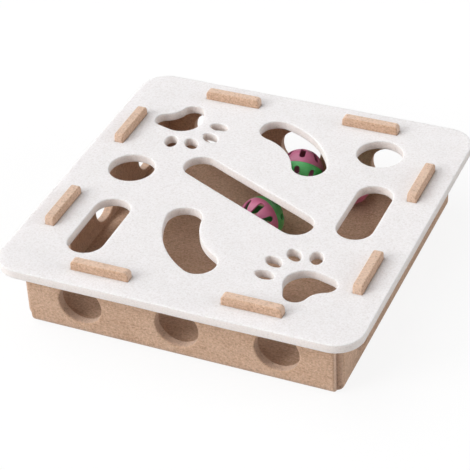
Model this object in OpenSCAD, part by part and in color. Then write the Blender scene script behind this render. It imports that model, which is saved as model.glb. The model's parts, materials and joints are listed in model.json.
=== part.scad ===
// Felt play box for a cat: a tray folded up from one brown felt blank, a white felt top whose
// slots hold the tray's tabs, and three rattle balls that roll inside.
// Millimetres, +Z up, origin on the ground under the middle of the box.

/* [Felt] */
// Thickness of the brown and of the white felt sheet
felt_t = 8; // [6:0.5:10]

/* [Tray] */
// Outer width of the folded tray
tray_w = 266; // [250:1:280]
// Height of the wall shoulders that carry the top panel
wall_h = 56; // [50:1:80]
// Gap between the end of a wall and the inner face of the next wall
corner_gap = 0.3; // [0.2:0.1:4]
// Bevel across each corner of the tray's floor
floor_corner_cut = 4; // [1:0.5:10]

/* [Tabs] */
// Length of a tab
tab_l = 49; // [30:0.5:70]
// Distance between the middles of a wall's two tabs
tab_pitch = 125; // [90:1:160]
// Height of the tabs above the top panel
tab_rise = 7; // [3:0.5:12]
// Radius of the tabs' upper corners
tab_corner_r = 3.5; // [1:0.5:6]
// Gap between a tab and its slot, all round
tab_clearance = 0.5; // [0.3:0.1:1.5]

/* [Wall holes] */
// Diameter of the holes in the walls
hole_d = 36; // [20:0.5:40]
// Distance between neighbouring holes of a wall
hole_pitch = 82; // [60:1:90]
// Height of the holes' middles above the ground
hole_z = 30; // [29:0.5:32]

/* [Top panel] */
// Side of the square top panel
panel_w = 300; // [290:1:340]
// Radius of the panel's corners
panel_corner_r = 23; // [5:1:40]

/* [Round and straight cut-outs] */
// Diameter of the two round cut-outs
round_d = 38.5; // [25:0.5:44]
// Middle of the round cut-out at the left
round_left = [-102, 7.5]; // [-110:0.5:110]
// Middle of the round cut-out at the back
round_back = [83, 94]; // [-110:0.5:110]
// Width of the two straight cut-outs
slot_w = 30; // [20:0.5:34]
// Distance between the end centres of the straight cut-outs
slot_run = 45; // [30:1:60]
// Middle of the straight cut-out at the front left
slot_front_left = [-91.5, -74]; // [-110:0.5:110]
// Middle of the straight cut-out at the right
slot_right = [99, 13]; // [-110:0.5:110]
// Width of the slanting cut-out
slant_w = 29; // [20:0.5:34]
// Distance between the end centres of the slanting cut-out
slant_run = 113; // [80:1:125]
// Middle of the slanting cut-out
slant_at = [2.5, 4]; // [-20:0.5:20]
// Turn of the slanting cut-out
slant_turn = -25; // [-40:1:-10]

/* [Bent cut-outs] */
// Width of the two bent cut-outs
bend_w = 29; // [20:0.5:32]
// Radius of their middle line
bend_r = 67; // [50:1:100]
// Angle that the middle line covers
bend_sweep = 53; // [30:1:60]
// Middle of the bent cut-out at the front
bend_front = [-21, -71]; // [-90:0.5:90]
// Direction in which the front one bulges
bend_front_turn = 215; // [200:1:230]
// Middle of the bent cut-out at the back
bend_back = [17, 83.5]; // [-90:0.5:90]
// Direction in which the back one bulges
bend_back_turn = 48; // [40:1:60]

/* [Paw cut-outs] */
// Middle of the paw at the back left
paw_back = [-94, 89.5]; // [-110:0.5:110]
// Middle of the paw at the front right
paw_front = [91, -91]; // [-110:0.5:110]
// Direction in which the back paw's toes point
paw_turn = -42; // [-60:1:-30]
// Radius of the pad's broad front
pad_front_r = 17.5; // [15:0.5:18]
// Distance of the pad's front centre from the paw's middle
pad_front_at = 2.5; // [1:0.5:4]
// Radius of the pad's two rear lobes
pad_lobe_r = 9.5; // [8.5:0.5:10]
// Place of a rear lobe along the paw
pad_lobe_along = -4.5; // [-6:0.5:-3]
// Place of a rear lobe across the paw
pad_lobe_across = 12.5; // [11:0.5:13.5]
// Place of the dent between the rear lobes, along the paw
pad_dent_at = -11; // [-12:0.5:-10]
// Length of a toe
toe_l = 17; // [13:0.5:20]
// Width of a toe
toe_w = 11; // [7:0.5:12]
// Radius of a toe's ends, as a share of its half width
toe_end = 0.62; // [0.5:0.02:0.8]
// Place of an inner toe along the paw
toe_inner_along = 39.5; // [36:0.5:42]
// Place of an inner toe across the paw
toe_inner_across = 8.7; // [8:0.1:10]
// Outward turn of an inner toe
toe_inner_turn = 8; // [0:1:15]
// Place of an outer toe along the paw
toe_outer_along = 28.2; // [26:0.1:30]
// Place of an outer toe across the paw
toe_outer_across = 22.1; // [21:0.1:25]
// Outward turn of an outer toe
toe_outer_turn = 30; // [20:1:40]

/* [Balls] */
// Outer diameter of a rattle ball
ball_d = 38; // [34:0.5:40]
// Wall of the ball's two halves
ball_wall = 1.5; // [1.2:0.1:2.5]
// Windows round each half
window_count = 8; // [6:1:9]
// Width of a window
window_w = 4.9; // [3:0.1:5.5]
// Distance between the end centres of a window
window_run = 9.5; // [5:0.1:10]
// Latitude of the windows' middles
window_latitude = 35; // [32:0.5:38]
// Turn of the green half's windows from those of the pink half
window_offset = -8; // [-20:1:20]
// Height of the step where the halves lock together
lock_h = 1.2; // [0.8:0.1:1.6]
// Gap between loose or locking pieces of a ball
ball_gap = 0.3; // [0.2:0.05:0.6]
// Gap between the locking steps of the two halves
lock_gap = 0.1; // [0.05:0.01:0.2]
// Place of the ball under the slanting cut-out
middle_ball_at = [5.5, 22.5]; // [-40:0.5:40]
// Sideways place of the ball by the rear wall
rear_ball_x = 11; // [-20:0.5:20]
// Gap between the rear ball and the rear wall
rear_ball_gap = 7.5; // [1:0.5:10]
// Place of the ball at the back right
right_ball_at = [55.5, 97]; // [50:0.5:104]

/* [Bells] */
// Outer diameter of a bell's domes
bell_d = 15; // [12:0.5:16]
// Sheet thickness of the domes
bell_t = 0.6; // [0.5:0.1:1]
// Width of the seam that joins the domes
bell_seam = 0.8; // [0.4:0.1:1.2]
// Width of the crossing slits in the lower dome
slit_w = 1.4; // [1:0.1:2]
// Diameter of the round slit ends
slit_end_d = 2.8; // [2.2:0.1:3.2]
// Distance of the slit ends from the bell's axis
slit_reach = 4.6; // [3.8:0.1:4.8]
// Diameter of the loose pellet
pellet_d = 5; // [3:0.5:6]

/* [Hidden] */
$fn = 96;
// Reach of a cutter past the face that it cuts
past = 1;
// Extra radius of the bent cut-outs' round ends, so that these cross the long sides
bend_ease = 0.05;
// Distance of the pads' straight flanks inside the arcs that they join
flank_ease = 0.03;
inner = tray_w / 2 - felt_t;
wall_l = 2 * (inner - corner_gap);
tab_top = wall_h + felt_t + tab_rise;
ball_r = ball_d / 2;
ball_in_r = ball_r - ball_wall;
ball_z = felt_t + ball_gap + ball_r;
lock_r = ball_in_r + (ball_wall - lock_gap) / 2;
bell_r = bell_d / 2;
bell_in_r = bell_r - bell_t;
bell_drop = ball_in_r - ball_gap - bell_r;
pellet_drop = bell_in_r - ball_gap - pellet_d / 2;
rear_ball_at = [rear_ball_x, inner - rear_ball_gap - ball_r];

// Turn of each ball: about its own pole, then the pole's tilt and its compass direction
middle_ball_turn = [31, 80.5, 250];
rear_ball_turn = [6, 60.5, 99.5];
right_ball_turn = [10, 100, 310];

brown_felt = [0.70, 0.56, 0.46];
white_felt = [0.91, 0.90, 0.90];
pink_plastic = [0.84, 0.47, 0.62];
green_plastic = [0.30, 0.68, 0.36];
bell_metal = [0.78, 0.78, 0.80];
pellet_metal = [0.55, 0.55, 0.57];

// Straight cut-out with round ends, along X
module straight_cut(width, run) {
    square([run, width], center = true);
    for (side = [-1, 1])
        translate([side * run / 2, 0]) circle(d = width);
}

// Bent cut-out whose middle lies at the origin and which bulges towards +X
module bent_cut() {
    half = bend_sweep / 2;
    reach = 2 * (bend_r + bend_w);
    translate([-bend_r, 0]) {
        intersection() {
            difference() {
                circle(r = bend_r + bend_w / 2);
                circle(r = bend_r - bend_w / 2);
            }
            polygon([[0, 0], reach * [cos(half), -sin(half)], reach * [cos(half), sin(half)]]);
        }
        for (side = [-1, 1])
            rotate(side * half) translate([bend_r, 0]) circle(r = bend_w / 2 + bend_ease);
    }
}

// Oval toe of two end arcs and two long side arcs, along X
module toe() {
    a = toe_l / 2;
    b = toe_w / 2;
    end_r = toe_end * b;
    side_r = ((a - end_r) * (a - end_r) + b * b - end_r * end_r) / (2 * (b - end_r));
    joint_x = (a - end_r) * side_r / (side_r - end_r);
    intersection() {
        translate([0, b - side_r]) circle(r = side_r);
        translate([0, side_r - b]) circle(r = side_r);
        square([2 * joint_x, toe_w + 2 * past], center = true);
    }
    for (side = [-1, 1])
        translate([side * (a - end_r), 0]) circle(r = end_r);
}

// Pad of a paw with its broad front towards +X and a dent between two rear lobes
module paw_pad() {
    lobe_x = pad_lobe_along;
    lobe_y = pad_lobe_across;
    rise = pad_dent_at - lobe_x;
    dent_r = (rise * rise + lobe_y * lobe_y - pad_lobe_r * pad_lobe_r) / (2 * (pad_lobe_r + rise));
    dent_x = pad_dent_at - dent_r;
    meet = pad_lobe_r / (pad_lobe_r + dent_r);
    meet_x = lobe_x + meet * (dent_x - lobe_x);
    meet_y = lobe_y * (1 - meet);
    back = pad_front_at - lobe_x;
    flank_turn = 180 - atan2(lobe_y, back) - acos((pad_front_r - pad_lobe_r) / norm([back, lobe_y]));
    flank = [cos(flank_turn), sin(flank_turn)];
    front_end = [pad_front_at, 0] + (pad_front_r - flank_ease) * flank;
    lobe_end = [lobe_x, lobe_y] + (pad_lobe_r - flank_ease) * flank;
    intersection() {
        translate([pad_front_at, 0]) circle(r = pad_front_r);
        translate([lobe_x, -pad_front_r]) square(2 * pad_front_r);
    }
    polygon([[lobe_x, lobe_y], lobe_end, front_end,
        [front_end[0], -front_end[1]], [lobe_end[0], -lobe_end[1]], [lobe_x, -lobe_y]]);
    for (side = [-1, 1])
        translate([lobe_x, side * lobe_y]) circle(r = pad_lobe_r);
    difference() {
        polygon([[lobe_x, lobe_y], [meet_x, meet_y], [meet_x, -meet_y], [lobe_x, -lobe_y]]);
        translate([dent_x, 0]) circle(r = dent_r);
    }
}

// Paw print with four toes towards +X
module paw_cut() {
    paw_pad();
    for (side = [-1, 1]) {
        translate([toe_inner_along, side * toe_inner_across]) rotate(side * toe_inner_turn) toe();
        translate([toe_outer_along, side * toe_outer_across]) rotate(side * toe_outer_turn) toe();
    }
}

// Places of the two tabs along a wall
module at_tabs() {
    for (side = [-1, 1])
        translate([side * tab_pitch / 2, 0]) children();
}

// The slots for the tabs of all four walls
module tab_slots() {
    for (turn = [0:90:270])
        rotate(turn) translate([0, -inner - felt_t / 2]) at_tabs()
            square([tab_l + 2 * tab_clearance, felt_t + 2 * tab_clearance], center = true);
}

module panel_outline() {
    straight = panel_w - 2 * panel_corner_r;
    square([panel_w, straight], center = true);
    square([straight, panel_w], center = true);
    for (x = [-1, 1])
        for (y = [-1, 1])
            translate([x, y] * straight / 2) circle(r = panel_corner_r);
}

module play_cuts() {
    translate(round_left) circle(d = round_d);
    translate(round_back) circle(d = round_d);
    translate(slot_front_left) rotate(90) straight_cut(slot_w, slot_run);
    translate(slot_right) rotate(90) straight_cut(slot_w, slot_run);
    translate(slant_at) rotate(slant_turn) straight_cut(slant_w, slant_run);
    translate(bend_front) rotate(bend_front_turn) bent_cut();
    translate(bend_back) rotate(bend_back_turn) bent_cut();
    translate(paw_back) rotate(paw_turn) paw_cut();
    translate(paw_front) rotate(paw_turn + 180) paw_cut();
}

module top_panel() {
    color(white_felt) translate([0, 0, wall_h]) linear_extrude(felt_t) difference() {
        panel_outline();
        play_cuts();
        tab_slots();
    }
}

// One half of the rounded fold, from the mitre to a flat face of the felt.
// The fold's inner line lies at the origin and the wall stands towards +Y.
module fold_half(wall_side) {
    reach = 2 * felt_t;
    flat_end = wall_side ? [-reach, 0] : [0, -reach];
    intersection() {
        circle(r = felt_t);
        polygon([[0, 0], flat_end, [-reach, -reach]]);
    }
}

// Sweeps a profile along the fold at the front of the tray
module along_front_fold() {
    translate([0, -inner, felt_t]) rotate([90, 0, 90])
        linear_extrude(wall_l, center = true) children();
}

module floor_panel() {
    side = 2 * inner;
    color(brown_felt) {
        linear_extrude(felt_t) intersection() {
            square(side, center = true);
            rotate(45) square(sqrt(2) * (side - floor_corner_cut), center = true);
        }
        for (turn = [0:90:270])
            rotate(turn) along_front_fold() fold_half(false);
    }
}

module tab_outline() {
    foot = wall_h - past;
    straight = tab_l - 2 * tab_corner_r;
    translate([-tab_l / 2, foot]) square([tab_l, tab_top - tab_corner_r - foot]);
    translate([-straight / 2, foot]) square([straight, tab_top - foot]);
    for (side = [-1, 1])
        translate([side * straight / 2, tab_top - tab_corner_r]) circle(r = tab_corner_r);
}

// A wall at the front of the tray, turned to its side
module wall(turn) {
    color(brown_felt) rotate(turn) difference() {
        union() {
            along_front_fold() {
                fold_half(true);
                translate([-felt_t, 0]) square([felt_t, wall_h - felt_t]);
            }
            translate([0, -inner, 0]) rotate([90, 0, 0]) linear_extrude(felt_t) at_tabs() tab_outline();
        }
        for (step = [-1:1])
            translate([step * hole_pitch, -inner + past, hole_z]) rotate([90, 0, 0])
                cylinder(d = hole_d, h = felt_t + 2 * past);
    }
}

module front_wall() { wall(0); }
module right_wall() { wall(90); }
module rear_wall() { wall(180); }
module left_wall() { wall(270); }

// Puts a piece into a ball at its place and turn
module in_ball(place, turn) {
    translate([place[0], place[1], ball_z]) rotate([0, turn[1], turn[2]]) rotate(turn[0]) children();
}

module half_space(reach) {
    translate([-reach, -reach, 0]) cube([2 * reach, 2 * reach, reach]);
}

// Cutters of the long windows of an upper half
module windows() {
    for (step = [0:window_count - 1])
        rotate(step * 360 / window_count) rotate([0, 90 - window_latitude, 0])
            linear_extrude(ball_d) straight_cut(window_w, window_run);
}

// Half of a ball's shell, pole up
module ball_shell() {
    difference() {
        intersection() {
            sphere(r = ball_r);
            half_space(ball_d);
        }
        sphere(r = ball_in_r);
        windows();
    }
}

// The pink half has the outer step of the lock
module pink_half(place, turn) {
    color(pink_plastic) in_ball(place, turn) difference() {
        ball_shell();
        translate([0, 0, -past]) cylinder(r = lock_r + lock_gap, h = lock_h + lock_gap + past);
    }
}

// The green half carries the inner step
module green_half(place, turn) {
    color(green_plastic) in_ball(place, turn) rotate([180, 0, window_offset]) {
        ball_shell();
        translate([0, 0, -lock_h]) difference() {
            cylinder(r = lock_r, h = lock_h);
            translate([0, 0, -past]) cylinder(r = ball_in_r, h = lock_h + 2 * past);
        }
    }
}

// A bell dome with its part of the seam, open side down
module bell_dome() {
    difference() {
        union() {
            intersection() {
                sphere(r = bell_r);
                half_space(bell_d);
            }
            cylinder(r = bell_r + bell_seam, h = bell_t);
        }
        sphere(r = bell_in_r);
    }
}

module at_bell(place) {
    translate([place[0], place[1], ball_z - bell_drop]) children();
}

module bell_top(place) {
    color(bell_metal) at_bell(place) bell_dome();
}

module bell_bottom(place) {
    color(bell_metal) at_bell(place) rotate([180, 0, 0]) difference() {
        bell_dome();
        for (turn = [0:90:270])
            rotate(turn) {
                translate([0, -slit_w / 2, bell_t + past]) cube([slit_reach, slit_w, bell_d]);
                translate([slit_reach, 0, bell_t + past]) cylinder(d = slit_end_d, h = bell_d);
            }
    }
}

module pellet(place) {
    color(pellet_metal) at_bell(place) translate([0, 0, -pellet_drop]) sphere(d = pellet_d);
}

module middle_ball_pink_half() { pink_half(middle_ball_at, middle_ball_turn); }
module middle_ball_green_half() { green_half(middle_ball_at, middle_ball_turn); }
module middle_ball_bell_top() { bell_top(middle_ball_at); }
module middle_ball_bell_bottom() { bell_bottom(middle_ball_at); }
module middle_ball_pellet() { pellet(middle_ball_at); }

module rear_ball_pink_half() { pink_half(rear_ball_at, rear_ball_turn); }
module rear_ball_green_half() { green_half(rear_ball_at, rear_ball_turn); }
module rear_ball_bell_top() { bell_top(rear_ball_at); }
module rear_ball_bell_bottom() { bell_bottom(rear_ball_at); }
module rear_ball_pellet() { pellet(rear_ball_at); }

module right_ball_pink_half() { pink_half(right_ball_at, right_ball_turn); }
module right_ball_green_half() { green_half(right_ball_at, right_ball_turn); }
module right_ball_bell_top() { bell_top(right_ball_at); }
module right_ball_bell_bottom() { bell_bottom(right_ball_at); }
module right_ball_pellet() { pellet(right_ball_at); }

top_panel();
floor_panel();
front_wall();
rear_wall();
left_wall();
right_wall();
middle_ball_pink_half();
middle_ball_green_half();
middle_ball_bell_top();
middle_ball_bell_bottom();
middle_ball_pellet();
rear_ball_pink_half();
rear_ball_green_half();
rear_ball_bell_top();
rear_ball_bell_bottom();
rear_ball_pellet();
right_ball_pink_half();
right_ball_green_half();
right_ball_bell_top();
right_ball_bell_bottom();
right_ball_pellet();
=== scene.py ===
import json
import math

import bmesh
import bpy
from mathutils import Matrix, Vector, noise


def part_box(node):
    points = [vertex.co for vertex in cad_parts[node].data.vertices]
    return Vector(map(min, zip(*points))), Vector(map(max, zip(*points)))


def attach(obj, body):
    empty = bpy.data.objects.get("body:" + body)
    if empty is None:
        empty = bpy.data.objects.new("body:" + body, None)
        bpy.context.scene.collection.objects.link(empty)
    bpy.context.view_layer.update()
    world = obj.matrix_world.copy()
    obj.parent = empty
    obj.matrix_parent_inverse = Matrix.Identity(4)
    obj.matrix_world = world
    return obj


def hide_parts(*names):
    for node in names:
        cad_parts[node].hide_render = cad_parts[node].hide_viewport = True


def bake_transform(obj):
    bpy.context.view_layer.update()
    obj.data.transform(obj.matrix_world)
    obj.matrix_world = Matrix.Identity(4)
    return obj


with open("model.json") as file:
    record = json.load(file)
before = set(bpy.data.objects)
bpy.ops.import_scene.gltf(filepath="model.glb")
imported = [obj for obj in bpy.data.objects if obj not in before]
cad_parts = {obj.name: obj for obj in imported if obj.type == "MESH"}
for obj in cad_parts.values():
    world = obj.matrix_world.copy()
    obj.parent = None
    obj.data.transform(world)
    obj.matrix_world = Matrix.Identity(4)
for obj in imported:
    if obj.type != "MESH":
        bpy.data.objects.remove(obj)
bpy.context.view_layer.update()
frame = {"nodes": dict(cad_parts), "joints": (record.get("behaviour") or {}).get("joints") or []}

MM = 0.001
UP = Vector((0, 0, 1))
ACROSS = Vector((1, 0, 0))
AWAY = Vector((0, 1, 0))
WHITE = (1, 1, 1, 1)

# The felt's thickness, the inside of the folded tray and the height of the top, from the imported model
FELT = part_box("floor_panel")[1].z
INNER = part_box("right_wall")[0].x
PANEL_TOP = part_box("top_panel")[1].z

# Cut edges are soft, those of the tray more than those of the top
EDGE_R = 1.4 * MM
TOP_EDGE_R = 0.8 * MM
EDGE_STEPS = 3

# How far the felt strays from flat, the span of its waves, and the slices that let it follow them
SAG = 0.35 * MM
SAG_SPAN = 70 * MM
SLICE = 12 * MM

# Corners within the weld are one corner, and edges shorter than a sliver are dissolved
WELD = 0.002 * MM
SLIVER = 5 * WELD

# Faces that meet at less than this angle, in degrees, shade as one
SMOOTH_ANGLE = 40
# The cosine from which a face counts as looking one way
SAME_WAY = 0.999

# The slots for the tabs are the top's narrow cut-outs
SLOT_WIDEST = 1.2 * FELT
# How far the felt of the top closes in on the tabs, past the solid's clearance
SLOT_CLOSE = 0.45 * MM

# Each wall of the tray, with its turn from the front about the middle of the box
WALL_TURNS = {"front": 0, "right": 90, "rear": 180, "left": 270}
# The soft ends of the walls press together past the ends of the solid walls
WALL_PAST = {"front": 2.6 * MM, "rear": 2.6 * MM, "left": 1.6 * MM, "right": 1.6 * MM}

# The fold under a wall: the radius inside it, the place where it begins and the length of felt that bends
CREASE_R = 0.5 * MM
FOLD_LINE = INNER - CREASE_R
FOLD_LENGTH = math.pi / 4 * FELT
# The steps of the bend, and how far from the fold, and how finely, the felt beside it is sliced
FOLD_STEPS = 8
FOLD_MARGIN = 1.5 * FELT
FOLD_SLICE = FELT / 4

# The rattle balls' moulded halves: their soft edges, the size of their facets and the depth of their skins
BALL_EDGE_R = 0.35 * MM
BALL_EDGE_STEPS = 1
BALL_CELL = 3 * MM
SKIN_DEPTH = 0.01 * MM

# How far light wanders inside the felt
SOFT_DEPTH = 6 * MM
# The tone of a cut edge fades out between these two distances from the middle of the sheet. That tone is
# partly the fibre ends' own and partly painted light: paler tops of the tabs and lighter, warmer cut walls
CUT_WHOLE = FELT / 2 - 1.6 * MM
CUT_NONE = FELT / 2 - 0.3 * MM
# The felt's fibres: the turn of each layer in degrees and how fine it is
FIBRE_LAYERS = ((12, 1.0), (71, 1.18), (134, 0.9))
# The cells of a layer in a metre, along its fibres, across them and through the sheet
FIBRE_ALONG = 130
FIBRE_ACROSS = 1500
FIBRE_THROUGH = 900
# The scratches on metal: their turn in degrees, and their cells in a metre along and across
SCRATCH_TURN = 30
SCRATCH_ALONG = 300
SCRATCH_ACROSS = 4200

# The lamps: strength, spread in degrees and where the light is from, which is left, front left and right
LAMPS = {
    "window": (2.25, 85, Vector((-0.62, -0.14, 0.77))),
    "room": (1.5, 30, Vector((-0.62, -0.64, 0.45))),
    "side": (1.0, 40, Vector((0.92, 0.20, 0.34))),
}
# The strength at which the white surround lights the part
AMBIENT = 0.20

# The studio floor: half its width in metres, the tone that it throws on the part and the tone that is seen
FLOOR_HALF = 6
FLOOR_BOUNCE = (0.62, 0.61, 0.60, 1)
FLOOR_SEEN = (0.97, 0.97, 0.97, 1)
# How much of the seen floor is plain white, so that the rest keeps a light shadow
FLOOR_GLOW = 0.88

# The photograph's camera, with its angles in degrees and its lens and sensor in millimetres
CAMERA_PLACE = Vector((0.50178, -1.10451, 0.91666))
CAMERA_AZIMUTH = 24.795
CAMERA_ELEVATION = 36.283
CAMERA_ROLL = -2.949
CAMERA_LENS = 141.97
CAMERA_SENSOR = 36.0


class Value:
    """A socket of a node tree. Arithmetic on it adds Math nodes to that tree."""

    def __init__(self, tree, socket):
        self.tree = tree
        self.socket = socket

    def node(self, kind, settings=None, inputs=None, output=0):
        """Adds a node: first its settings are set, then its inputs get their values or links."""
        made = self.tree.nodes.new(kind)
        for name, setting in (settings or {}).items():
            setattr(made, name, setting)
        for name, value in (inputs or {}).items():
            if isinstance(value, Value):
                self.tree.links.new(value.socket, made.inputs[name])
            else:
                made.inputs[name].default_value = value
        return Value(self.tree, made.outputs[output] if made.outputs else None)

    def math(self, operation, first, second=0.0):
        return self.node("ShaderNodeMath", {"operation": operation}, {0: first, 1: second})

    def __add__(self, other):
        return self.math("ADD", self, other)

    __radd__ = __add__

    def __sub__(self, other):
        return self.math("SUBTRACT", self, other)

    def __rsub__(self, other):
        return self.math("SUBTRACT", other, self)

    def __mul__(self, other):
        return self.math("MULTIPLY", self, other)

    __rmul__ = __mul__

    def __abs__(self):
        return self.math("ABSOLUTE", self)

    def __or__(self, other):
        """The larger of two values."""
        return self.math("MAXIMUM", self, other)

    def step(self, low, high):
        """0 below low, 1 above high and smooth between."""
        return self.node(
            "ShaderNodeMapRange",
            {"interpolation_type": "SMOOTHSTEP"},
            {"Value": self, "From Min": low, "From Max": high},
        )

    def noise(self, scale, detail, roughness):
        """Noise on this vector, with scale in cells per metre."""
        return self.node(
            "ShaderNodeTexNoise",
            {"noise_dimensions": "3D"},
            {"Vector": self, "Scale": scale, "Detail": detail, "Roughness": roughness},
        )

    def mapped(self, turn, scale):
        """This vector, scaled along each axis and turned by degrees about Z."""
        return self.node(
            "ShaderNodeMapping",
            {"vector_type": "POINT"},
            {"Vector": self, "Rotation": (0, 0, math.radians(turn)), "Scale": scale},
        )

    def mix(self, first, second):
        """The first colour where this value is 0, the second where it is 1."""
        return self.node("ShaderNodeMix", {"data_type": "RGBA"}, {0: self, 6: first, 7: second}, 2)


def empty_tree(owner):
    """Empties the nodes of a material or of the world, and returns a value that adds new ones."""
    owner.use_nodes = True
    owner.node_tree.nodes.clear()
    return Value(owner.node_tree, None)


def new_material(name):
    """A material without nodes, and the value that adds its first ones."""
    material = bpy.data.materials.new(name)
    return material, empty_tree(material)


def finish_surface(start, sockets):
    """Ends a material in one Principled surface."""
    surface = start.node("ShaderNodeBsdfPrincipled", {}, sockets)
    start.node("ShaderNodeOutputMaterial", {}, {"Surface": surface})


def felt_material(name, pale, middle, dark, cut_tone_and_painted_light, contrast, soft):
    """Needled felt: drifting tone, short fibres in all directions of the sheet and fine pits between.

    The pattern follows the flat blank of a sheet. The edges where the sheet was cut show the fibres' ends
    in a tone of their own, which also holds painted light: paler tab tops and lighter, warmer cut walls.
    """
    material, start = new_material(name)
    attribute = {"attribute_name": "blank", "attribute_type": "GEOMETRY"}
    blank = start.node("ShaderNodeAttribute", attribute, {}, "Vector")
    drift = blank.noise(scale=60, detail=4.0, roughness=0.7).step(0.3, 0.7)
    heather = blank.noise(scale=560, detail=2.0, roughness=0.6)
    grain = blank.noise(scale=900, detail=3.0, roughness=0.65)
    fibres = None
    for turn, fine in FIBRE_LAYERS:
        layer = blank.mapped(turn, (FIBRE_ALONG * fine, FIBRE_ACROSS * fine, FIBRE_THROUGH))
        strand = layer.noise(scale=1.0, detail=2.0, roughness=0.6).step(0.55, 0.72)
        fibres = strand if fibres is None else fibres | strand
    pits = 1 - grain.step(0.32, 0.52)
    specks = 1 - heather.step(0.33, 0.5)
    light = heather.step(0.5, 0.66)
    depth = start.node("ShaderNodeSeparateXYZ", {}, {"Vector": blank}, "Z")
    inside = 1 - abs(depth).step(CUT_WHOLE, CUT_NONE)
    tone = (drift * 0.45 + light * 0.55).mix(middle, pale)
    # Cut edges take their own tone: partly the fibre ends, partly painted light that brightens tab tops
    # and shaded cut walls
    tone = (inside * 0.8).mix(tone, cut_tone_and_painted_light)
    tone = ((pits * 0.6 + specks * 0.5) * contrast).mix(tone, dark)
    tone = (fibres * contrast).mix(tone, pale)
    height = grain * 0.6 + fibres * 0.5 + drift * 0.2
    bump = start.node("ShaderNodeBump", {}, {"Strength": 0.55, "Distance": 0.5 * MM, "Height": height})
    finish_surface(
        start,
        {
            "Base Color": tone,
            "Roughness": 0.95 - fibres * 0.08,
            "Specular IOR Level": 0.15,
            "Sheen Weight": 0.2,
            "Sheen Roughness": 0.6,
            "Subsurface Weight": soft,
            "Subsurface Radius": (1, 1, 1),
            "Subsurface Scale": SOFT_DEPTH,
            "Normal": bump,
        },
    )
    return material


def plastic_material(name, colour, deep):
    """Moulded plastic with a faint flow of tone, a fine skin and handling marks in its gloss."""
    material, start = new_material(name)
    place = start.node("ShaderNodeTexCoord", {}, {}, "Object")
    flow = place.noise(scale=120, detail=2.0, roughness=0.5).step(0.35, 0.7)
    rub = place.noise(scale=700, detail=4.0, roughness=0.7)
    skin = place.noise(scale=2200, detail=1.0, roughness=0.5)
    bump = start.node("ShaderNodeBump", {}, {"Strength": 0.08, "Distance": 0.1 * MM, "Height": skin})
    finish_surface(
        start,
        {
            "Base Color": (flow * 0.35).mix(colour, deep),
            "Roughness": 0.26 + rub * 0.16,
            "Specular IOR Level": 0.5,
            "Subsurface Weight": 0.08,
            "Subsurface Radius": (0.004, 0.003, 0.003),
            "Subsurface Scale": 0.3,
            "Normal": bump,
        },
    )
    return material


def metal_material(name, bright, dull, roughness):
    """Plated or bare steel with cloudy tarnish and fine scratches."""
    material, start = new_material(name)
    place = start.node("ShaderNodeTexCoord", {}, {}, "Object")
    cloud = place.noise(scale=260, detail=3.0, roughness=0.6).step(0.4, 0.75)
    layer = place.mapped(SCRATCH_TURN, (SCRATCH_ALONG, SCRATCH_ACROSS, SCRATCH_ACROSS))
    scratch = layer.noise(scale=1.0, detail=2.0, roughness=0.5)
    bump = start.node("ShaderNodeBump", {}, {"Strength": 0.05, "Distance": 0.05 * MM, "Height": scratch})
    finish_surface(
        start,
        {
            "Base Color": cloud.mix(bright, dull),
            "Metallic": 1.0,
            "Roughness": roughness + cloud * 0.15 + scratch * 0.05,
            "Normal": bump,
        },
    )
    return material


WHITE_FELT = felt_material(
    "white_felt",
    pale=(0.855, 0.835, 0.845, 1),
    middle=(0.805, 0.785, 0.785, 1),
    dark=(0.56, 0.50, 0.47, 1),
    # Cut edges: the fibre ends' warmer tone, made lighter as painted light on the shaded cut walls
    cut_tone_and_painted_light=(0.86, 0.80, 0.765, 1),
    contrast=0.42,
    soft=0.9,
)
BROWN_FELT = felt_material(
    "brown_felt",
    pale=(0.76, 0.53, 0.385, 1),
    middle=(0.58, 0.365, 0.24, 1),
    dark=(0.24, 0.13, 0.075, 1),
    # Cut edges: the fibre ends' paler tone, with painted light that makes the tab tops brighter than the
    # walls
    cut_tone_and_painted_light=(0.74, 0.54, 0.415, 1),
    contrast=0.55,
    soft=0.0,
)
PINK_PLASTIC = plastic_material(
    "pink_plastic",
    colour=(0.66, 0.19, 0.34, 1),
    deep=(0.50, 0.11, 0.23, 1),
)
GREEN_PLASTIC = plastic_material(
    "green_plastic",
    colour=(0.115, 0.58, 0.175, 1),
    deep=(0.07, 0.42, 0.10, 1),
)
BELL_METAL = metal_material(
    "bell_metal",
    bright=(0.56, 0.55, 0.55, 1),
    dull=(0.36, 0.34, 0.32, 1),
    roughness=0.3,
)
PELLET_METAL = metal_material(
    "pellet_metal",
    bright=(0.5, 0.5, 0.52, 1),
    dull=(0.36, 0.35, 0.34, 1),
    roughness=0.28,
)


def merged_copy(node):
    """A copy of a CAD node's mesh with its corners joined."""
    bm = bmesh.new()
    bm.from_mesh(frame["nodes"][node].data)
    bmesh.ops.remove_doubles(bm, verts=bm.verts, dist=WELD)
    bm.normal_update()
    return bm


def outlines_round(bm, chosen):
    """Closed outlines, as lists of points, round the chosen faces. The copy is used up."""
    kept = set(chosen)
    bmesh.ops.delete(bm, geom=[face for face in bm.faces if face not in kept], context="FACES")
    bm.edges.index_update()
    rim = {edge.index: edge for edge in bm.edges if edge.is_boundary}
    outlines = []
    while rim:
        edge = rim.pop(min(rim))
        first, here = edge.verts
        points = [first.co.copy()]
        while here is not first:
            points.append(here.co.copy())
            edge = next(link for link in here.link_edges if link.index in rim)
            del rim[edge.index]
            here = edge.other_vert(here)
        outlines.append(points)
    bm.free()
    return outlines


def face_outlines(node, facing):
    """The outlines of the flat face of a CAD node that looks one way."""
    bm = merged_copy(node)
    return outlines_round(bm, [face for face in bm.faces if face.normal.dot(facing) > SAME_WAY])


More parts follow.
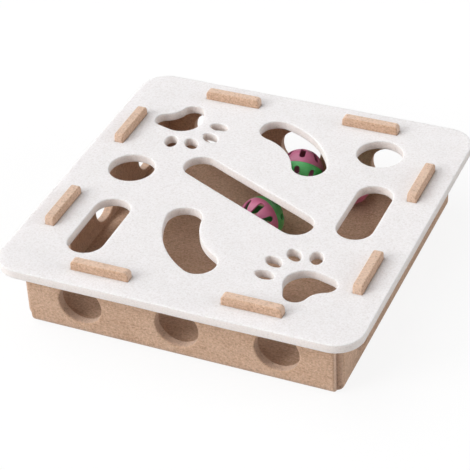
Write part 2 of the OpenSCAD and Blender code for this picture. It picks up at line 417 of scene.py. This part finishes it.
def cut_sheet(name, outlines, thick=FELT, edge=EDGE_R, edge_steps=EDGE_STEPS):
    """A flat sheet with soft edges, cut along outlines in its X and Y. Its middle is at Z 0."""
    curve = bpy.data.curves.new(name, "CURVE")
    curve.dimensions = "2D"
    curve.fill_mode = "BOTH"
    curve.extrude = thick / 2 - edge
    curve.bevel_depth = edge
    curve.bevel_resolution = edge_steps
    curve.offset = -edge
    for points in outlines:
        spline = curve.splines.new("POLY")
        spline.points.add(len(points) - 1)
        spline.use_cyclic_u = True
        for corner, point in zip(spline.points, points):
            corner.co = (point[0], point[1], 0, 1)
    flat = bpy.data.objects.new(name, curve)
    bpy.context.scene.collection.objects.link(flat)
    bpy.context.view_layer.update()
    mesh = bpy.data.meshes.new_from_object(flat.evaluated_get(bpy.context.evaluated_depsgraph_get()))
    bpy.data.objects.remove(flat)
    bm = bmesh.new()
    bm.from_mesh(mesh)
    bpy.data.meshes.remove(mesh)
    bmesh.ops.remove_doubles(bm, verts=bm.verts, dist=WELD)
    bmesh.ops.recalc_face_normals(bm, faces=bm.faces)
    return bm


def slice_sheet(bm, axis, places):
    """Cuts the sheet's faces across at places along an axis, so that it can bend and sag there."""
    for place in places:
        everything = bm.verts[:] + bm.edges[:] + bm.faces[:]
        bmesh.ops.bisect_plane(bm, geom=everything, dist=WELD, plane_co=axis * place, plane_no=axis)


def trim_sheet(bm, place, outward):
    """Cuts off what lies outward of a plane and closes the cut."""
    everything = bm.verts[:] + bm.edges[:] + bm.faces[:]
    bmesh.ops.bisect_plane(
        bm, geom=everything, dist=WELD, plane_co=place, plane_no=outward, clear_outer=True
    )
    bmesh.ops.holes_fill(bm, edges=[edge for edge in bm.edges if edge.is_boundary], sides=0)


def steps(low, high, size):
    """Even places between two ends, about one size apart, the ends left out."""
    count = max(1, round((high - low) / size))
    return [low + (high - low) * k / count for k in range(1, count)]


def sag(place):
    """How far the felt strays from flat at a place of its blank."""
    return SAG * noise.noise(Vector((place[0], place[1], 0)) / SAG_SPAN)


def make_piece(bm, name, material):
    """An object of the finished shape, which is used up, with smooth faces and a material."""
    bmesh.ops.dissolve_degenerate(bm, dist=SLIVER, edges=bm.edges)
    if bm.calc_volume(signed=True) < 0:
        bmesh.ops.reverse_faces(bm, faces=bm.faces)
    mesh = bpy.data.meshes.new(name)
    bm.to_mesh(mesh)
    bm.free()
    mesh.shade_smooth()
    mesh.set_sharp_from_angle(angle=math.radians(SMOOTH_ANGLE))
    mesh.materials.append(material)
    piece = bpy.data.objects.new(name, mesh)
    bpy.context.scene.collection.objects.link(piece)
    return piece


def shade_evenly(piece):
    """Lets the large faces of a felt piece rule its shading, so that it looks flat up to its edges."""
    shading = piece.modifiers.new("Even shading", "WEIGHTED_NORMAL")
    shading.keep_sharp = True


def close_slot(points):
    """Moves the outline of a slot in on its tab. Wider cut-outs are left alone."""
    sides = [[point[axis] for point in points] for axis in (0, 1)]
    if min(max(side) - min(side) for side in sides) >= SLOT_WIDEST:
        return
    middle = Vector([(max(side) + min(side)) / 2 for side in sides])
    for point in points:
        for axis in (0, 1):
            point[axis] -= math.copysign(SLOT_CLOSE, point[axis] - middle[axis])


def make_top():
    """The white top with its play cut-outs, sagging a little between the walls."""
    outlines = face_outlines("top_panel", UP)
    for points in outlines:
        close_slot(points)
    bm = cut_sheet("felt_top", outlines, edge=TOP_EDGE_R)
    low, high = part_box("top_panel")
    slice_sheet(bm, ACROSS, steps(low.x, high.x, SLICE))
    slice_sheet(bm, AWAY, steps(low.y, high.y, SLICE))
    blank = bm.verts.layers.float_vector.new("blank")
    for vert in bm.verts:
        vert[blank] = vert.co
        vert.co.z += PANEL_TOP - FELT / 2 + sag(vert.co)
    top = make_piece(bm, "felt_top", WHITE_FELT)
    shade_evenly(top)
    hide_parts("top_panel")
    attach(top, "top")


def sort_parts(parts, place):
    """Puts corners or faces in the order of their places. An extrusion can leave them in any order."""
    ranked = sorted(parts, key=lambda part: tuple(place(part)))
    ranks = {part: rank for rank, part in enumerate(ranked)}
    parts.sort(key=lambda part: ranks[part])


def make_floor():
    """The middle of the tray's floor, inside the strips that the walls fold up from."""
    half = FOLD_LINE - FOLD_MARGIN
    bm = bmesh.new()
    cells = round(2 * half / SLICE)
    bmesh.ops.create_grid(bm, x_segments=cells, y_segments=cells, size=half)
    blank = bm.verts.layers.float_vector.new("blank")
    for vert in bm.verts:
        edge = min(1, (half - max(abs(vert.co.x), abs(vert.co.y))) / SLICE)
        vert.co.z = sag(vert.co) * edge
    lower = bmesh.ops.extrude_face_region(bm, geom=bm.faces[:])["geom"]
    for vert in (part for part in lower if isinstance(part, bmesh.types.BMVert)):
        vert.co.z = -FELT
    for vert in bm.verts:
        vert[blank] = vert.co + UP * FELT / 2
        vert.co.z += FELT
    sort_parts(bm.verts, lambda vert: vert.co)
    sort_parts(bm.faces, lambda face: face.calc_center_median())
    bmesh.ops.recalc_face_normals(bm, faces=bm.faces)
    floor = make_piece(bm, "felt_floor", BROWN_FELT)
    shade_evenly(floor)
    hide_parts("floor_panel")
    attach(floor, "tray_floor")


def wall_outlines(side, about, end):
    """The outlines of a wall's outer face laid flat, with X along the wall and Y out from the fold.

    They reach past the wall's ends, and past the strip of floor that the wall folds up from.
    """
    to_front = about.inverted()
    outlines = []
    for outline in face_outlines(side + "_wall", about @ -AWAY):
        upright = [to_front @ point for point in outline]
        flat = [Vector((point.x, point.z - FELT - CREASE_R + FOLD_LENGTH, 0)) for point in upright]
        for point in flat:
            if abs(point.x) > end - WELD:
                point.x += math.copysign(WALL_PAST[side], point.x)
            if point.y < FOLD_LENGTH + WELD:
                point.y = -FOLD_MARGIN - FELT
        outlines.append(flat)
    return outlines


def fold_up(flat):
    """Where a point of the front wall's blank goes when the wall is folded up.

    The blank lies with X along the wall, Y out from the fold and Z from the inner face to the outer one.
    """
    if flat.y <= 0:
        return Vector((flat.x, -FOLD_LINE - flat.y, FELT - flat.z))
    if flat.y < FOLD_LENGTH:
        turn = math.pi / 2 * flat.y / FOLD_LENGTH
        reach = CREASE_R + flat.z
        down = reach * math.cos(turn) - CREASE_R
        return Vector((flat.x, -FOLD_LINE - reach * math.sin(turn), FELT - down))
    height = (flat.y - FOLD_LENGTH) / (PANEL_TOP - 2 * FELT)
    lean = sag(flat) * math.sin(math.pi * min(1, height))
    return Vector((flat.x, -INNER - flat.z - lean, FELT + CREASE_R + flat.y - FOLD_LENGTH))


def make_wall(side, turn):
    """A brown wall with its holes and tabs, and the strip of the tray's floor that it folds up from."""
    node = side + "_wall"
    about = Matrix.Rotation(math.radians(turn), 4, "Z")
    wall_low, wall_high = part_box("front_wall")
    outlines = wall_outlines(side, about, wall_high.x)
    bm = cut_sheet(node, outlines)
    trim_sheet(bm, -AWAY * FOLD_MARGIN, -AWAY)
    slice_sheet(bm, ACROSS, steps(wall_low.x, wall_high.x, SLICE))
    reach = max(point.y for points in outlines for point in points)
    places = steps(-FOLD_MARGIN, 0, FOLD_SLICE)
    places += [FOLD_LENGTH * k / FOLD_STEPS for k in range(FOLD_STEPS + 1)]
    places += steps(FOLD_LENGTH, FOLD_LENGTH + FOLD_MARGIN, FOLD_SLICE)
    places += steps(FOLD_LENGTH + FOLD_MARGIN, reach, SLICE)
    slice_sheet(bm, AWAY, places)
    blank = bm.verts.layers.float_vector.new("blank")
    for vert in bm.verts:
        vert[blank] = about @ Vector((vert.co.x, -INNER - vert.co.y, -vert.co.z))
        vert.co = fold_up(vert.co + UP * FELT / 2)
    bmesh.ops.remove_doubles(bm, verts=bm.verts, dist=WELD)
    for end in (-1, 1):
        trim_sheet(bm, Vector((0, 0, 0)), Vector((end, 1, 0)).normalized())
    bm.transform(about)
    bmesh.ops.recalc_face_normals(bm, faces=bm.faces)
    wall = make_piece(bm, "felt_" + node, BROWN_FELT)
    shade_evenly(wall)
    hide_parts(node)
    crease = about @ Vector((0, -INNER, FELT))
    across = about @ Vector((0, -1, 1)) * (FOLD_MARGIN / 2)
    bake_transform(wall)


def make_half(ball, part, finish):
    """A moulded half of a ball: a disc with windows and soft edges, wrapped on the ball's sphere."""
    node = ball + "_ball_" + part + "_half"
    roll = next(joint for joint in frame["joints"] if joint["name"] == ball + "_ball_roll")
    centre = Vector(roll["pos_m"])
    bm = merged_copy(node)
    spans = [(vert.co - centre).length for vert in bm.verts]
    inner, outer = min(spans), max(spans)
    skin = []
    for face in bm.faces:
        if min((vert.co - centre).length for vert in face.verts) > outer - SKIN_DEPTH:
            skin.append(face)
    pole = sum((face.normal * face.calc_area() for face in skin), Vector()).normalized()
    tilt = pole.to_track_quat("Z", "Y")
    outlines = []
    for outline in outlines_round(bm, skin):
        local = [tilt.inverted() @ (point - centre) for point in outline]
        outlines.append([point.xy.normalized() * point.angle(UP) * outer for point in local])
    bm = cut_sheet(node, outlines, outer - inner, BALL_EDGE_R, BALL_EDGE_STEPS)
    reach = math.pi / 2 * outer
    for axis in (ACROSS, AWAY):
        slice_sheet(bm, axis, steps(-reach, reach, BALL_CELL))
    for vert in bm.verts:
        lean = vert.co.xy.length / outer
        away = vert.co.xy.normalized() * math.sin(lean)
        height = (inner + outer) / 2 + vert.co.z
        vert.co = centre + tilt @ Vector((away.x, away.y, math.cos(lean))) * height
    half = make_piece(bm, "moulded_" + node, finish)
    round_skins(half.data, centre, inner, outer)
    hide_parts(node)
    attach(half, ball + "_shell")


def round_skins(mesh, centre, inner, outer):
    """Gives the outer and inner skin of a ball's half the normals of their spheres."""
    normals = []
    for vert in mesh.vertices:
        out = vert.co - centre
        if out.length > outer - SKIN_DEPTH:
            normals.append(out.normalized())
        elif out.length < inner + SKIN_DEPTH:
            normals.append(-out.normalized())
        else:
            normals.append(vert.normal.copy())
    mesh.normals_split_custom_set_from_vertices(normals)


def dress_balls():
    """The halves of the balls are made anew, and the bells keep their solids and get their finishes."""
    finishes = {"bell_top": BELL_METAL, "bell_bottom": BELL_METAL, "pellet": PELLET_METAL}
    for ball in ("middle", "rear", "right"):
        make_half(ball, "pink", PINK_PLASTIC)
        make_half(ball, "green", GREEN_PLASTIC)
        for part, finish in finishes.items():
            frame["nodes"][ball + "_ball_" + part].material_slots[0].material = finish


def seen_directly(start):
    """1 for the rays that show the surroundings: from the camera, in gloss or through clear stuff."""
    rays = [
        start.node("ShaderNodeLightPath", {}, {}, output)
        for output in ("Is Camera Ray", "Is Glossy Ray", "Is Transmission Ray")
    ]
    return rays[0] | rays[1] | rays[2]


def make_studio_floor():
    """A white floor that keeps a light shadow, and that throws less light on the part than it shows."""
    bm = bmesh.new()
    bmesh.ops.create_grid(bm, x_segments=1, y_segments=1, size=FLOOR_HALF)
    mesh = bpy.data.meshes.new("studio_floor")
    bm.to_mesh(mesh)
    bm.free()
    material, start = new_material("studio_floor")
    shown = seen_directly(start)
    bounce = start.node("ShaderNodeBsdfDiffuse", {}, {"Color": FLOOR_BOUNCE})
    pale = start.node("ShaderNodeBsdfDiffuse", {}, {"Color": FLOOR_SEEN})
    white = start.node("ShaderNodeEmission", {}, {"Color": WHITE, "Strength": 1.0})
    plain = start.node("ShaderNodeMixShader", {}, {0: shown, 1: bounce, 2: pale})
    surface = start.node("ShaderNodeMixShader", {}, {0: shown * FLOOR_GLOW, 1: plain, 2: white})
    start.node("ShaderNodeOutputMaterial", {}, {"Surface": surface})
    mesh.materials.append(material)
    floor = bpy.data.objects.new("studio_floor", mesh)
    bpy.context.scene.collection.objects.link(floor)


def make_surround():
    """A world that is white where it is seen and lights the part only a little."""
    world = bpy.data.worlds.new("studio")
    start = empty_tree(world)
    strength = seen_directly(start) * (1 - AMBIENT) + AMBIENT
    surround = start.node("ShaderNodeBackground", {}, {"Color": WHITE, "Strength": strength})
    start.node("ShaderNodeOutputWorld", {}, {"Surface": surround})
    bpy.context.scene.world = world


def make_lamp(name, strength, spread, source):
    """A far lamp that shines from one way. The wider its spread, the softer its shadows."""
    lamp = bpy.data.lights.new(name, "SUN")
    lamp.energy = strength
    lamp.angle = math.radians(spread)
    light = bpy.data.objects.new(name, lamp)
    light.rotation_mode = "QUATERNION"
    light.rotation_quaternion = source.to_track_quat("Z", "Y")
    bpy.context.scene.collection.objects.link(light)


def make_camera():
    """The camera at the photograph's viewing angle."""
    lens = bpy.data.cameras.new("photo_view")
    lens.lens = CAMERA_LENS
    lens.sensor_width = CAMERA_SENSOR
    camera = bpy.data.objects.new("photo_view", lens)
    bpy.context.scene.collection.objects.link(camera)
    turn = Matrix.Rotation(math.radians(CAMERA_AZIMUTH), 4, "Z")
    tilt = Matrix.Rotation(math.radians(90 - CAMERA_ELEVATION), 4, "X")
    roll = Matrix.Rotation(math.radians(CAMERA_ROLL), 4, "Z")
    camera.matrix_world = Matrix.Translation(CAMERA_PLACE) @ turn @ tilt @ roll
    bpy.context.scene.camera = camera


make_camera()
make_studio_floor()
make_surround()
for name, (strength, spread, source) in LAMPS.items():
    make_lamp(name, strength, spread, source)
make_top()
make_floor()
for side, turn in WALL_TURNS.items():
    make_wall(side, turn)
dress_balls()
bpy.context.scene.view_settings.view_transform = "Standard"
